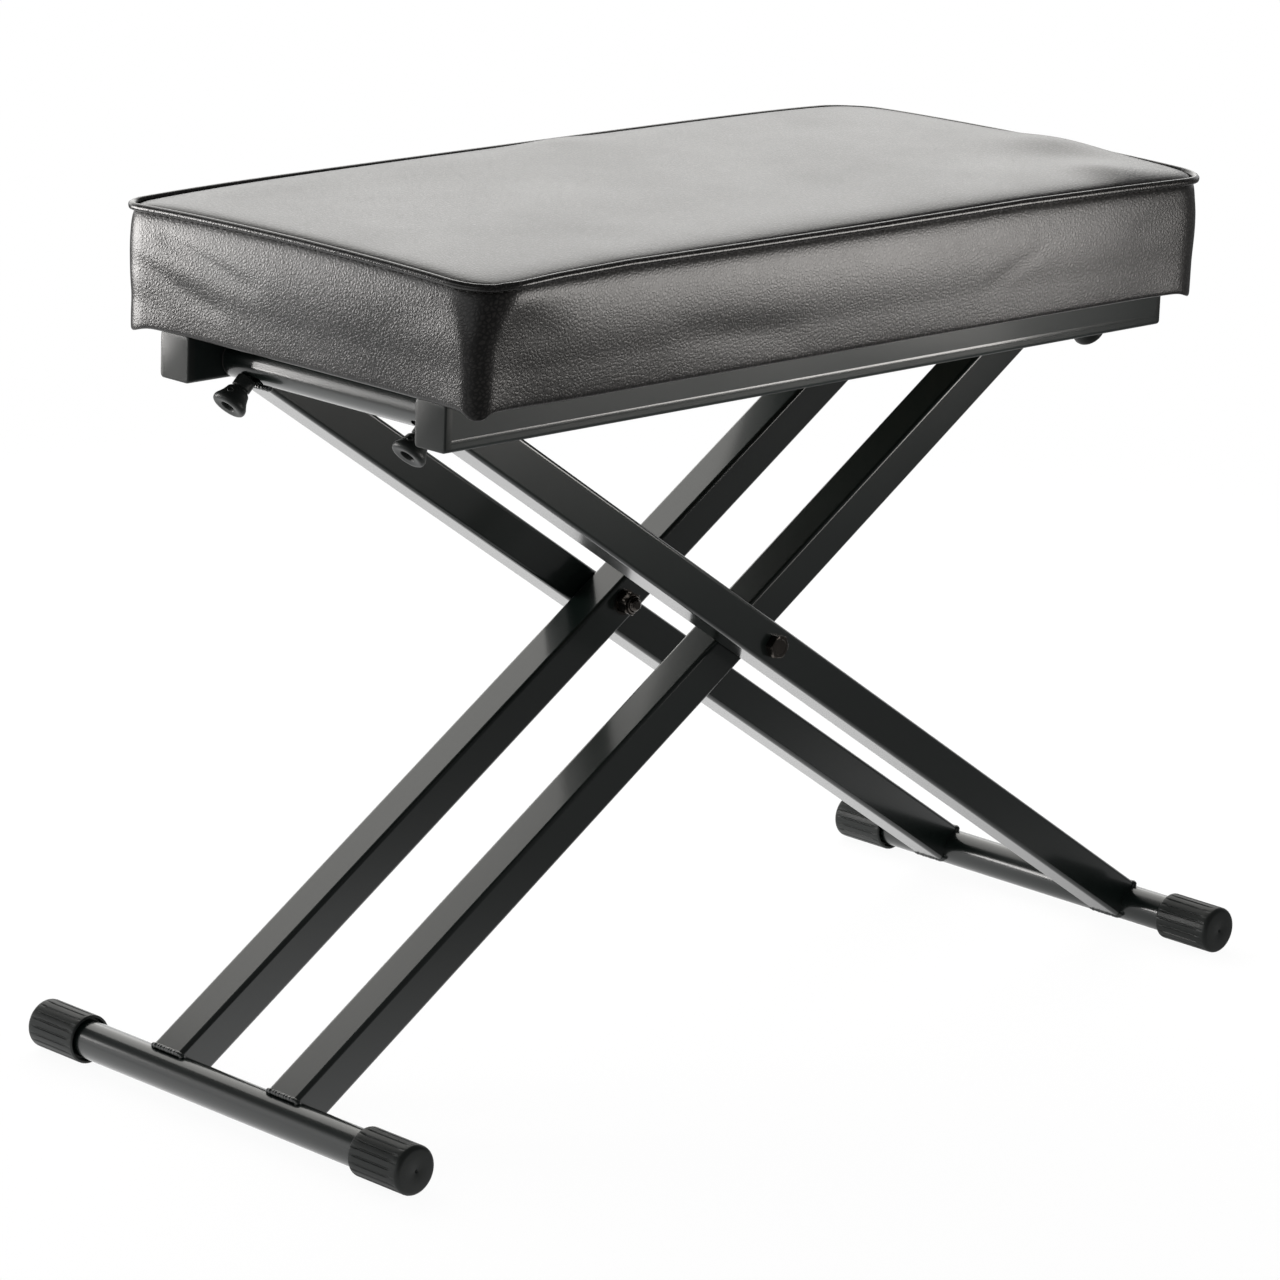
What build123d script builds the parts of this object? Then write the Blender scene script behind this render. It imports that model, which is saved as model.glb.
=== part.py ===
from build123d import *
import os
from math import cos, radians, sin, sqrt

# Folding keyboard bench: a padded seat on two rails, carried by two crossed leg frames.
# X runs along the seat, Y across it and Z up. The origin is on the floor under the centre.
# Millimetres and degrees. Every size is that of the bench standing open at its lowest holes.

# Seat cushion, measured over the piping
seat_length = 612.0
seat_width = 312.0
seat_corner = 30.0
side_height = 68.0
base_inset = 4.0
waist_inset = 5.0
waist_height = 36.0
crown_shoulder_inset = 14.0
crown_shoulder_rise = 4.0
crown_slope_inset = 44.0
crown_slope_rise = 7.0
crown_top_inset = 92.0
crown_rise = 9.0
cover_thickness = 1.2
hem_width = 24.0
piping_diameter = 6.0
board_thickness = 12.0
staple_crown = 11.0
staple_wire = 0.7
staples_per_side = 9
staples_per_end = 3

# Rails under the seat and their end plugs
rail_end = 36.0
rail_width = 25.0
rail_height = 28.0
rail_wall = 1.5
rail_corner = 2.5
rail_inset = 48.0
pin_height = 11.5
hole_count = 3
hole_pitch = 20.0
plug_flange = 5.0
plug_insert = 18.0
plug_wall = 2.0
plug_clearance = 0.1

# Bolts that hold the rails to the board
rail_bolt_spacing = 200.0
rail_bolt_count = 3
rail_bolt_diameter = 6.0
rail_bolt_head_across = 10.0
rail_bolt_head_height = 4.0
rail_bolt_clearance = 0.2
access_hole_diameter = 14.0
t_nut_barrel_diameter = 8.0
t_nut_barrel_length = 9.0
t_nut_flange_diameter = 19.0
t_nut_flange_thickness = 1.5
thread_clearance = 0.02

# Crossed legs
leg_angle = 33.5
leg_up = 316.5
leg_down = 414.0
leg_size = 25.0
leg_wall = 1.5
leg_corner = 2.5
leg_setback = 7.0
leg_rail_gap = 6.0
weld_gap = 0.05

# Round tubes across the ends of the legs
tube_diameter = 23.0
tube_wall = 1.5
bush_flange = 1.5
bush_insert = 8.0
bush_side_gap = 0.5
tube_fit_clearance = 0.05

# Ribbed caps on the foot tubes
foot_overhang = 6.2
cap_diameter = 29.4
cap_length = 41.0
cap_end = 4.0
cap_round = 3.0
cap_rim_round = 1.0
rib_count = 24
rib_groove_diameter = 2.2
rib_groove_depth = 0.7
rib_end_margin = 7.0
rib_rim_margin = 5.0

# Pivot bolts through the crossing legs
pivot_diameter = 8.0
pivot_head_across = 13.0
pivot_head_height = 5.3
pivot_nut_height = 6.5
pivot_nut_collar_diameter = 11.0
pivot_nut_collar_height = 1.5
pivot_bolt_tail = 1.0
pivot_clearance = 0.05
washer_diameter = 16.0
washer_thickness = 1.6
spacer_diameter = 18.0
spacer_thickness = 1.5
spacer_running_gap = 0.05

# Spring lock pins in the round tubes under the seat
pin_diameter = 8.0
pin_clearance = 0.05
pin_engagement = 4.0
pin_open_gap = 0.3
pin_tail = 18.0
collar_length = 4.0
collar_side_gap = 0.3
lock_travel = 10.0
knob_setback = 17.5
knob_angle = 45.0
stud_diameter = 5.0
stud_side_gap = 0.3
stud_depth = 17.0
neck_diameter = 12.0
neck_gap = 0.4
neck_length = 8.5
head_base_diameter = 14.0
head_diameter = 21.0
head_height = 12.0
head_edge = 3.0
head_dome = 0.6
spring_length = 20.0
spring_diameter = 9.0
spring_wire = 1.2
spring_stop_thickness = 3.0

# Derived places
tube_radius = tube_diameter / 2
tube_bore = tube_radius - tube_wall
foot_z = cap_diameter / 2
foot_length = seat_width + 2 * foot_overhang
foot_x = leg_down * cos(radians(leg_angle))
pivot_z = foot_z + leg_down * sin(radians(leg_angle))
top_x = leg_up * cos(radians(leg_angle))
top_z = pivot_z + leg_up * sin(radians(leg_angle))
rail_bottom = top_z - pin_height
rail_z = rail_bottom + rail_height / 2
rail_y = seat_width / 2 - rail_inset
rail_inner = rail_y - rail_width / 2
base_z = rail_bottom + rail_height
board_top = base_z + board_thickness
piping_z = base_z + side_height
outer_leg_y = rail_inner - leg_rail_gap - leg_size / 2
inner_leg_y = outer_leg_y - leg_size - spacer_thickness - spacer_running_gap
outer_face = outer_leg_y + leg_size / 2
inner_face = inner_leg_y - leg_size / 2
bush_face = rail_inner - bush_side_gap
tube_end = bush_face - bush_flange
knob_place = tube_end - knob_setback
pin_inner_end = knob_place - pin_tail
rail_length = 2 * (top_x + rail_end)
rail_tube_length = rail_length - 2 * plug_flange
edge_length = seat_length - piping_diameter
edge_width = seat_width - piping_diameter
edge_corner = seat_corner - piping_diameter / 2
ends = {"front": -1, "rear": 1}


def cylinder_y(radius, y_from, y_to, x=0.0, z=0.0):
    """A round bar along Y."""
    middle = (y_from + y_to) / 2
    return Pos(x, middle, z) * Rot(90, 0, 0) * Cylinder(radius, abs(y_to - y_from))


def cylinder_z(radius, z_from, z_to, x=0.0, y=0.0):
    """A round bar along Z."""
    return Pos(x, y, (z_from + z_to) / 2) * Cylinder(radius, abs(z_to - z_from))


def square_tube_x(width, height, wall, corner, length):
    """A rectangular tube along X, centred on the origin."""
    bore = RectangleRounded(width - 2 * wall, height - 2 * wall, corner - wall)
    ring = RectangleRounded(width, height, corner) - bore
    return extrude(Plane.YZ * ring, amount=length / 2, both=True)


def hexagon_z(across, z_from, z_to):
    """A hexagonal bar along Z."""
    face = Pos(0, 0, z_from) * RegularPolygon(across / sqrt(3), 6)
    return extrude(face, amount=z_to - z_from)


def outward(end, x=0.0, z=0.0):
    """Turns a local Z axis to point out of the front or rear of the bench."""
    return Pos(x, 0, z) * Rot(-90 * end, 0, 0)


def pair(make):
    """The front and rear copies of one small piece, as one group."""
    return Compound([solid for end in ends.values() for solid in make(end).solids()])


# Seat cushion

def seat_outline(inset):
    """The rounded plan of the cushion, drawn in from the piping's centre line."""
    return RectangleRounded(edge_length - 2 * inset, edge_width - 2 * inset, edge_corner)


def cushion_stations(skin):
    """Plan insets and heights up the cushion, from the board's top to the crown."""
    return [
        (base_inset + skin, board_top),
        (waist_inset + skin, base_z + waist_height),
        (skin, piping_z - skin),
        (crown_shoulder_inset + skin, piping_z + crown_shoulder_rise - skin),
        (crown_slope_inset + skin, piping_z + crown_slope_rise - skin),
        (crown_top_inset + skin, piping_z + crown_rise - skin),
    ]


def cushion_loft(stations):
    """A crowned cushion with drawn-in sides."""
    return loft([Pos(0, 0, z) * seat_outline(inset) for inset, z in stations], ruled=True)


def rail_bolt_places():
    """Plan places of the bolts that hold the rails to the board."""
    first = -rail_bolt_spacing * (rail_bolt_count - 1) / 2
    return [
        (first + index * rail_bolt_spacing, end * rail_y)
        for end in ends.values()
        for index in range(rail_bolt_count)
    ]


def seat_piping():
    plan = RectangleRounded(edge_length, edge_width, edge_corner).wire()
    path = Pos(0, 0, piping_z) * plan
    section = Plane(origin=path @ 0, z_dir=path % 0) * Circle(piping_diameter / 2)
    return sweep(section, path=path)


def seat_board():
    board = extrude(Pos(0, 0, base_z) * seat_outline(base_inset + cover_thickness), amount=board_thickness)
    for x, y in rail_bolt_places():
        board -= cylinder_z(t_nut_barrel_diameter / 2, base_z, board_top, x, y)
        board -= cylinder_z(t_nut_flange_diameter / 2, board_top - t_nut_flange_thickness, board_top, x, y)
    return board


def seat_foam(piping):
    return cushion_loft(cushion_stations(cover_thickness)) - piping


def seat_cover(piping):
    """Leatherette in two pieces that the piping parts: the top panel, and the side band with its hem."""
    hem_bottom = base_z - cover_thickness
    cover = cushion_loft([(base_inset, hem_bottom)] + cushion_stations(0))
    cover -= cushion_loft(cushion_stations(cover_thickness))
    cover -= extrude(Pos(0, 0, base_z) * seat_outline(base_inset + cover_thickness), amount=board_thickness)
    cover -= extrude(Pos(0, 0, hem_bottom) * seat_outline(base_inset + hem_width), amount=cover_thickness)
    for end in ends.values():
        notch_width = rail_width + 2 * rail_bolt_clearance
        notch_length = rail_length + 2 * rail_bolt_clearance
        cover -= Pos(0, end * rail_y, hem_bottom) * Box(notch_length, notch_width, 2 * cover_thickness)
    side_band, top_panel = (cover - piping).solids().sort_by(Axis.Z)
    return side_band, top_panel


def cover_staples():
    """Staples that hold the hem, laid flat on it all round."""
    flat_z = base_z - cover_thickness - staple_wire / 2
    side_y = edge_width / 2 - base_inset - hem_width / 2
    end_x = edge_length / 2 - base_inset - hem_width / 2
    side_pitch = 2 * end_x / (staples_per_side + 1)
    end_pitch = 2 * rail_inner / (staples_per_end + 1)
    staples = []
    for sign in (-1, 1):
        for index in range(staples_per_side):
            along = (index - (staples_per_side - 1) / 2) * side_pitch
            staples.append(Pos(along, sign * side_y, flat_z) * Box(staple_crown, staple_wire, staple_wire))
        for index in range(staples_per_end):
            along = (index - (staples_per_end - 1) / 2) * end_pitch
            staples.append(Pos(sign * end_x, along, flat_z) * Box(staple_wire, staple_crown, staple_wire))
    return Compound([staple.solid() for staple in staples])


# Rails and what fastens them

def rail(end):
    """One seat rail, with its row of pin holes at each end of the inner wall."""
    body = square_tube_x(rail_width, rail_height, rail_wall, rail_corner, rail_tube_length)
    body = Pos(0, end * rail_y, rail_z) * body
    hole_radius = pin_diameter / 2 + pin_clearance
    for sign in (-1, 1):
        for index in range(hole_count):
            x = sign * (top_x - index * hole_pitch)
            body -= cylinder_y(hole_radius, end * rail_inner, end * rail_y, x, top_z)
    for x, y in rail_bolt_places():
        if y * end > 0:
            bolt_radius = rail_bolt_diameter / 2 + rail_bolt_clearance
            body -= cylinder_z(bolt_radius, rail_z, base_z, x, y)
            body -= cylinder_z(access_hole_diameter / 2, rail_bottom, rail_z, x, y)
    return body


def rail_plug(end, side):
    """A plastic plug: a flange over the rail's end and a hollow insert inside it."""
    flange = extrude(Plane.YZ * RectangleRounded(rail_width, rail_height, rail_corner), amount=plug_flange)
    bore_width = rail_width - 2 * rail_wall - 2 * plug_clearance
    bore_height = rail_height - 2 * rail_wall - 2 * plug_clearance
    insert = square_tube_x(bore_width, bore_height, plug_wall, rail_corner, plug_insert)
    plug = flange + Pos(-plug_insert / 2, 0, 0) * insert
    return Pos(side * rail_tube_length / 2, end * rail_y, rail_z) * Rot(0, 0, 90 - 90 * side) * plug


def rail_bolt(x, y):
    under_head = base_z - rail_wall
    head = hexagon_z(rail_bolt_head_across, under_head - rail_bolt_head_height, under_head)
    shank = cylinder_z(rail_bolt_diameter / 2, under_head, board_top)
    return Pos(x, y, 0) * (head + shank)


def t_nut(x, y):
    flange_bottom = board_top - t_nut_flange_thickness
    nut = cylinder_z(t_nut_flange_diameter / 2, flange_bottom, board_top)
    nut += cylinder_z(t_nut_barrel_diameter / 2, flange_bottom - t_nut_barrel_length, flange_bottom)
    nut -= cylinder_z(rail_bolt_diameter / 2 + thread_clearance, base_z, board_top)
    return Pos(x, y, 0) * nut


def rail_bolt_group(make):
    return Compound([make(x, y).solid() for x, y in rail_bolt_places()])


# Leg frames: side is 1 for the outer frame, whose feet stand at +X, and -1 for the inner one

def leg(side, y):
    """One square leg, coped to the round tube at each end and drilled for the pivot."""
    start = leg_up - leg_setback
    stop = leg_down - leg_setback
    tube = square_tube_x(leg_size, leg_size, leg_wall, leg_corner, start + stop)
    tube = Pos((stop - start) / 2, 0, 0) * tube
    tube -= cylinder_y(pivot_diameter / 2 + pivot_clearance, -leg_size, leg_size)
    turn = 90 - side * (90 - leg_angle)
    tube = Pos(0, y, pivot_z) * Rot(0, turn, 0) * tube
    cope = tube_radius + weld_gap
    tube -= cylinder_y(cope, y - leg_size, y + leg_size, -side * top_x, top_z)
    tube -= cylinder_y(cope, y - leg_size, y + leg_size, side * foot_x, foot_z)
    return tube


def foot_tube(side):
    reach = foot_length / 2 - cap_end
    tube = cylinder_y(tube_radius, -reach, reach) - cylinder_y(tube_bore, -reach, reach)
    return Pos(side * foot_x, 0, foot_z) * tube


def foot_cap(side, end):
    """A ribbed plastic cap with a closed, rounded outer end."""
    inner = foot_length / 2 - cap_length
    outer = foot_length / 2
    cap = cylinder_z(cap_diameter / 2, inner, outer)
    rims = cap.edges().filter_by(GeomType.CIRCLE).sort_by(Axis.Z)
    cap = fillet(rims[-1], cap_round)
    rims = cap.edges().filter_by(GeomType.CIRCLE).sort_by(Axis.Z)
    cap = fillet(rims[0], cap_rim_round)
    cap -= cylinder_z(tube_radius + tube_fit_clearance, inner, outer - cap_end)
    groove_radius = rib_groove_diameter / 2
    groove_place = cap_diameter / 2 + groove_radius - rib_groove_depth
    groove = cylinder_z(groove_radius, inner + rib_rim_margin, outer - rib_end_margin)
    for index in range(rib_count):
        cap -= Rot(0, 0, (index + 0.5) * 360 / rib_count) * Pos(groove_place, 0, 0) * groove
    return outward(end, side * foot_x, foot_z) * cap


def lock_axes(side):
    """Places a lock's own axes: Y along the top tube and Z out along the knob."""
    return Pos(-side * top_x, 0, top_z) * Rot(0, -side * (90 + knob_angle), 0)


def top_tube(side):
    """The round tube between the rails, slotted for the studs of its two lock pins."""
    tube = cylinder_y(tube_radius, -tube_end, tube_end) - cylinder_y(tube_bore, -tube_end, tube_end)
    slot_length = lock_travel + stud_diameter + 2 * stud_side_gap
    slot_width = stud_diameter + 2 * stud_side_gap
    for end in ends.values():
        middle = end * (knob_place - lock_travel / 2)
        slot = Pos(0, middle, 0) * SlotOverall(slot_length, slot_width, rotation=90)
        tube -= extrude(slot, amount=tube_diameter)
    return lock_axes(side) * tube


def tube_bush(side, end):
    """A flanged plastic bush in the end of a top tube, which guides the lock pin."""
    bush = cylinder_y(tube_radius, end * tube_end, end * bush_face)
    bush += cylinder_y(tube_bore - tube_fit_clearance, end * (tube_end - bush_insert), end * tube_end)
    bush -= cylinder_y(pin_diameter / 2 + pin_clearance, end * (tube_end - bush_insert), end * bush_face)
    return lock_axes(side) * bush


def spring_stop(side, end):
    """A disc fixed inside a top tube, which the lock spring pushes against."""
    face = pin_inner_end - spring_length
    disc = cylinder_y(tube_bore - tube_fit_clearance, end * (face - spring_stop_thickness), end * face)
    return lock_axes(side) * disc


# Pivot hardware, drawn with Z pointing out of the front or rear

def pivot_bolt(end):
    tail = inner_face - washer_thickness - pivot_nut_height - pivot_nut_collar_height - pivot_bolt_tail
    bolt = hexagon_z(pivot_head_across, outer_face, outer_face + pivot_head_height)
    bolt += cylinder_z(pivot_diameter / 2, tail, outer_face)
    return outward(end, 0, pivot_z) * bolt


def pivot_nut(end):
    seat = inner_face - washer_thickness
    nut = hexagon_z(pivot_head_across, seat - pivot_nut_height, seat)
    collar_end = seat - pivot_nut_height - pivot_nut_collar_height
    nut += cylinder_z(pivot_nut_collar_diameter / 2, collar_end, seat - pivot_nut_height)
    nut -= cylinder_z(pivot_diameter / 2 + thread_clearance, collar_end, seat)
    return outward(end, 0, pivot_z) * nut


def pivot_ring(end, diameter, z_from, z_to):
    ring = cylinder_z(diameter / 2, z_from, z_to)
    ring -= cylinder_z(pivot_diameter / 2 + pivot_clearance, z_from, z_to)
    return outward(end, 0, pivot_z) * ring


def pivot_washer(end):
    return pivot_ring(end, washer_diameter, inner_face - washer_thickness, inner_face)


def pivot_spacer(end):
    face = outer_leg_y - leg_size / 2
    return pivot_ring(end, spacer_diameter, face - spacer_thickness, face)


# Spring locks: an axial pin, a stud through the tube's slot, a knob on the stud and a spring

def lock_pin(side, end):
    """The outer frame's pins reach into the rails; the inner frame's stop just short of them."""
    engaged = rail_inner + rail_wall + pin_engagement
    tip = engaged if side > 0 else rail_inner - pin_open_gap
    pin = cylinder_y(pin_diameter / 2, end * pin_inner_end, end * tip)
    collar_radius = tube_bore - collar_side_gap
    pin += cylinder_y(collar_radius, end * pin_inner_end, end * (pin_inner_end + collar_length))
    pin -= cylinder_z(stud_diameter / 2 + thread_clearance, 0, pin_diameter, 0, end * knob_place)
    return lock_axes(side) * pin


def knob_stud(side, end):
    stud = cylinder_z(stud_diameter / 2, 0, tube_radius + stud_depth, 0, end * knob_place)
    return lock_axes(side) * stud


def lock_knob(side, end):
    """A necked knob that flares to a wide, slightly domed end."""
    neck_start = tube_radius + neck_gap
    head_start = neck_start + neck_length
    head_top = head_start + head_height
    edge_radius = head_diameter / 2
    outline = Polyline(
        (0, 0, neck_start),
        (neck_diameter / 2, 0, neck_start),
        (neck_diameter / 2, 0, head_start),
        (head_base_diameter / 2, 0, head_start),
        (edge_radius, 0, head_top - head_edge),
        (edge_radius, 0, head_top - head_edge / 2),
        (edge_radius - head_edge / 2, 0, head_top),
        (0, 0, head_top + head_dome),
        close=True,
    )
    knob = revolve(make_face(outline), axis=Axis.Z)
    knob = Pos(0, end * knob_place, 0) * knob
    knob -= cylinder_z(stud_diameter / 2 + thread_clearance, 0, tube_radius + stud_depth, 0, end * knob_place)
    return lock_axes(side) * knob


def lock_spring(side, end):
    """The room that the hidden coil spring takes up between its stop and the pin."""
    face = pin_inner_end - spring_length
    spring = cylinder_y(spring_diameter / 2, end * face, end * pin_inner_end)
    spring -= cylinder_y(spring_diameter / 2 - spring_wire, end * face, end * pin_inner_end)
    return lock_axes(side) * spring


def build_seat():
    piping = seat_piping()
    side_band, top_panel = seat_cover(piping)
    nodes = {
        "seat_board": seat_board(),
        "seat_foam": seat_foam(piping),
        "seat_side_band": side_band,
        "seat_top_panel": top_panel,
        "seat_piping": piping,
        "cover_staples": cover_staples(),
        "rail_bolts": rail_bolt_group(rail_bolt),
        "t_nuts": rail_bolt_group(t_nut),
    }
    for name, end in ends.items():
        nodes[f"{name}_rail"] = rail(end)
        nodes[f"{name}_rail_left_plug"] = rail_plug(end, -1)
        nodes[f"{name}_rail_right_plug"] = rail_plug(end, 1)
    return nodes


def build_leg_frame(frame, side, leg_y):
    nodes = {
        f"{frame}_top_tube": top_tube(side),
        f"{frame}_foot_tube": foot_tube(side),
        f"{frame}_tube_bushes": pair(lambda end: tube_bush(side, end)),
        f"{frame}_spring_stops": pair(lambda end: spring_stop(side, end)),
    }
    for name, end in ends.items():
        nodes[f"{frame}_{name}_leg"] = leg(side, end * leg_y)
        nodes[f"{frame}_{name}_foot_cap"] = foot_cap(side, end)
        nodes[f"{frame}_{name}_lock_pin"] = lock_pin(side, end)
        nodes[f"{frame}_{name}_knob_stud"] = knob_stud(side, end)
        nodes[f"{frame}_{name}_lock_knob"] = lock_knob(side, end)
        nodes[f"{frame}_{name}_lock_spring"] = lock_spring(side, end)
    return nodes


def build_pivot():
    return {
        "pivot_bolts": pair(pivot_bolt),
        "pivot_nuts": pair(pivot_nut),
        "pivot_washers": pair(pivot_washer),
        "pivot_spacers": pair(pivot_spacer),
    }


bench = build_seat()
bench.update(build_leg_frame("outer", 1, outer_leg_y))
bench.update(build_leg_frame("inner", -1, inner_leg_y))
bench.update(build_pivot())

os.makedirs("parts", exist_ok=True)
for node, shape in bench.items():
    export_step(shape, f"parts/{node}.step")
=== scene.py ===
import math
import bmesh
import bpy
import numpy as np
from mathutils import Matrix, Vector, noise


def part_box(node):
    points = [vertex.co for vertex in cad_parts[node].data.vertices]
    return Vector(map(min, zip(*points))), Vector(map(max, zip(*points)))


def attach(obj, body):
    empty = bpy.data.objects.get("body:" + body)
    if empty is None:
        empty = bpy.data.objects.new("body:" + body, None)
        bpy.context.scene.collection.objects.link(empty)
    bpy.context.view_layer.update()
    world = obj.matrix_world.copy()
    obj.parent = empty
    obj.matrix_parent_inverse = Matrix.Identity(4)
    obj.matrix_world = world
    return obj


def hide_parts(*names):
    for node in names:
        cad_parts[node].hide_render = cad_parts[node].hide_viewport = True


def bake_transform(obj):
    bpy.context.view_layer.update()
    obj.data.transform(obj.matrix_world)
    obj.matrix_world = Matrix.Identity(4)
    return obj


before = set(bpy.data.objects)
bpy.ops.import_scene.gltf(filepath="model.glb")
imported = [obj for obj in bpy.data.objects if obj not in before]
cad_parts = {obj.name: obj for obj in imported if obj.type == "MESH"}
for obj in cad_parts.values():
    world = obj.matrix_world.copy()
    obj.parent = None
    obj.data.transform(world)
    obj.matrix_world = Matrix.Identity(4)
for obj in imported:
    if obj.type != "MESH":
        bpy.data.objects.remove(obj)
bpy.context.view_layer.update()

scene = bpy.context.scene
MM = 0.001
MERGE_GAP = 0.001 * MM
EDGE_ANGLES = (30, 60, 90)
ENDS = {"front": -1, "rear": 1}
SIDES = {"outer": 1, "inner": -1}

# Cushion outline and seam
AROUND = 336
CORNER_STEPS = 32
CORNER_EASE = 12 * MM
SEAM_CORNERS = {"front_right": 28 * MM, "rear_right": 28 * MM, "rear_left": 17 * MM, "front_left": 28 * MM}
PIPING_DIAMETER = 4.6 * MM
PIPING_SIDES = 14
SEAM_LIFT = 2.8 * MM
SEAM_LIFT_REACH = 55 * MM
FRONT_SEAM_X = [-306, -250, -196, -100, 0, 130, 220, 290, 306]
FRONT_SEAM_LIFT = [0, 2.6, 3.6, 2.8, 2.4, 2.8, 1.6, 0.2, 0]
FRONT_FACING = -0.9
PULL_IN = 1.6 * MM
PULL_IN_REACH = 80 * MM
SEAM_CREVICE = 1.4 * MM
CREVICE_FADE = 0.9
SEAM_TUCK = 3.6 * MM
SEAM_TUCK_REACH = 3.2 * MM
ROW_CROWDING = 1.6

# Side band and hem; a hem step is a share of the hem's width and a share of the way down the side
FOOT_CORNERS = {"front_right": 26 * MM, "rear_right": 16 * MM, "rear_left": 16 * MM, "front_left": 14 * MM}
FOOT_CORNER_SHARES = (0.0, 0.55)
NEAR_CORNER_SHIFT = (-1.0 * MM, 4.5 * MM)
NEAR_CORNER_REACH = 50 * MM
SIDE_DEPTH = 30 * MM
SIDE_ROWS = 22
SIDE_BULGE = 0.9 * MM
BULGE_PEAK = 1.4
SIDE_LEAN = 2.4 * MM
CORNER_FLARE = 30 * MM
FLARE_HOLD = 0.85
TAIL_DROP = 4.5 * MM
TAIL_WIDTH = 8 * MM
TAIL_REACH = 22 * MM
UNDULATION = 0.32 * MM
UNDULATION_LENGTH = 110 * MM
EDGE_ROUND = 2.5 * MM
HEM_WIDTH = 24 * MM
HEM_STEPS = [(0.25, 0.3), (0.6, 0.0), (1.0, 0.0)]
HIDDEN_CAP_RISE = 3 * MM

# Top panel; a lump is x, y, height and reach in mm
TOP_ROWS = 22
MIDDLE_LIFT = 0.6
CROWN_RISE = 6.5 * MM
CROWN_REACH = {"left": 5 * MM, "right": 12 * MM, "front": 13 * MM, "rear": 14 * MM}
LEFT_FLATNESS = 0.5
LEFT_FLAT_REACH = 120 * MM
TOP_LUMPS = [(27, 140, 2.2, 26), (238, -122, 3.0, 22), (280, -46, 4.5, 38)]

# Swelling of the cover
SWELL_FRAMES = 20
SWELL_PRESSURE = 4.0
SWELL_CAP = 1.5 * MM
SWELL_REACH = 60 * MM
SWELL_EASING = 8
EASING_SHARE = 0.5
SMALLEST_MOVE = 1e-9
COVER_SLACK = 0.012
COVER_STIFFNESS = 1.5
COVER_MERGE_GAP = 0.02 * MM

# Leatherette grain and stitches
GRAIN_TURN = (0.0, math.radians(-34), math.radians(-43))
GRAIN_STRETCH = 1.4
GRAIN_DRIFT = 1.6 * MM
STITCH_ROW = 3
STITCH_PITCH = 5.5 * MM
STITCH_LENGTH = 4.0 * MM
STITCH_THICKNESS = 0.7 * MM
STITCH_RAISE = 0.3 * MM

# Soft folds in the side band: side, then along and below the seam in mm at each end, half width, depth
SIDE_FOLDS = [
    ("left", (112, 15), (40, 30), 5.0, 0.75),
    ("left", (140, 31), (70, 48), 5.5, 0.75),
    ("left", (151, 50), (118, 58), 5.0, 0.5),
    ("left", (-70, 30), (-128, 14), 9.0, 0.2),
    ("front", (296, 9), (238, 24), 7.0, 0.4),
    ("front", (150, 26), (105, 44), 4.0, 0.35),
    ("front", (-150, 40), (-60, 52), 9.0, 0.4),
    ("front", (-292, 12), (-250, 30), 9.0, 0.3),
    ("right", (-140, 12), (-80, 34), 6.0, 1.2),
    ("right", (128, 10), (60, 30), 7.0, 1.1),
    ("rear", (-285, 12), (-215, 34), 7.0, 1.2),
    ("rear", (280, 10), (220, 28), 6.0, 1.2),
    ("rear", (40, 44), (-70, 30), 9.0, 0.8),
]
FOLD_TAPER = (0.12, 0.76)

# Ribbed foot caps
RIB_COUNT = 20
CAP_AROUND = 12 * RIB_COUNT
CAP_ROWS = 12
CAP_SHARP_ANGLE = 50
GROOVE_DEPTH = 0.75 * MM
GROOVE_WIDTH = 1.5 * MM
GROOVE_FLOOR = 0.15
GROOVE_RUNOUT = 0.8 * MM
GROOVE_SKIN = (1.0 * MM, 0.6 * MM)
GROOVE_END_MARGIN = 5.5 * MM
GROOVE_RIM_MARGIN = 2.6 * MM
CAP_EDGE_ROUND = 2.8 * MM
CAP_BORE_EDGE = 1.44 * MM
CAP_RECESS_DEPTH = 4.0 * MM
CAP_RECESS_GAP = 1.2 * MM
CAP_DIMPLE_RADIUS = 1.1 * MM
CAP_DIMPLE_DEPTH = 0.9 * MM
CAP_DIMPLE_EDGE = 0.15 * MM

# Lock knobs; sizes along the stud start at the tube's surface
KNOB_AROUND = 64
KNOB_TILT = 45
KNOB_GAP = 0.4 * MM
EYE_AROUND = 20
EYE_RADIUS = 1.5 * MM
EYE_RING = 0.45 * MM
EYE_FLOOR = 0.5 * MM
EYE_ROOT = 1.2 * MM
EYE_ALONG = 16.2 * MM
EYE_OUT = 9.3 * MM
EYE_LEAN = 0.35

# Lock springs
SPRING_TURNS = 3.5
SPRING_WIRE = 1.2 * MM
SPRING_STEPS = 84
SPRING_SIDES = 8
SPRING_END_GAP = 0.05 * MM

# Pivot hardware
BOLT_AROUND = 72
BOLT_SHARP_ANGLE = 25
BOLT_THREAD = 8 * MM
BOLT_DISH = 0.4 * MM
SHANK_AROUND = 40
SHANK_PAST_SEAT = 10.6 * MM
THREAD_PITCH = 1.25 * MM
THREAD_LENGTH = 9 * MM
HEX_ACROSS = 13 * MM
HEX_CHAMFER = 0.8 * MM
HEX_TURN = {"front": -9, "rear": 37}
WASHER_HEIGHT = 1.6 * MM
NUT_HEIGHT = 6.5 * MM
NUT_COLLAR = 11 * MM
NUT_COLLAR_HEIGHT = 1.5 * MM

# Rails
PLUG_FLANGE = 5 * MM
PLUG_EDGE_ROUND = 1.2 * MM
PLUG_CORNER = 2.5 * MM
CREASE_STEPS = 8
CREASE_RISE = 6.0 * MM
CREASE_HEIGHT = 0.09 * MM
CREASE_WIDTH = 4.0 * MM
CREASE_SINK = 0.03 * MM

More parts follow.
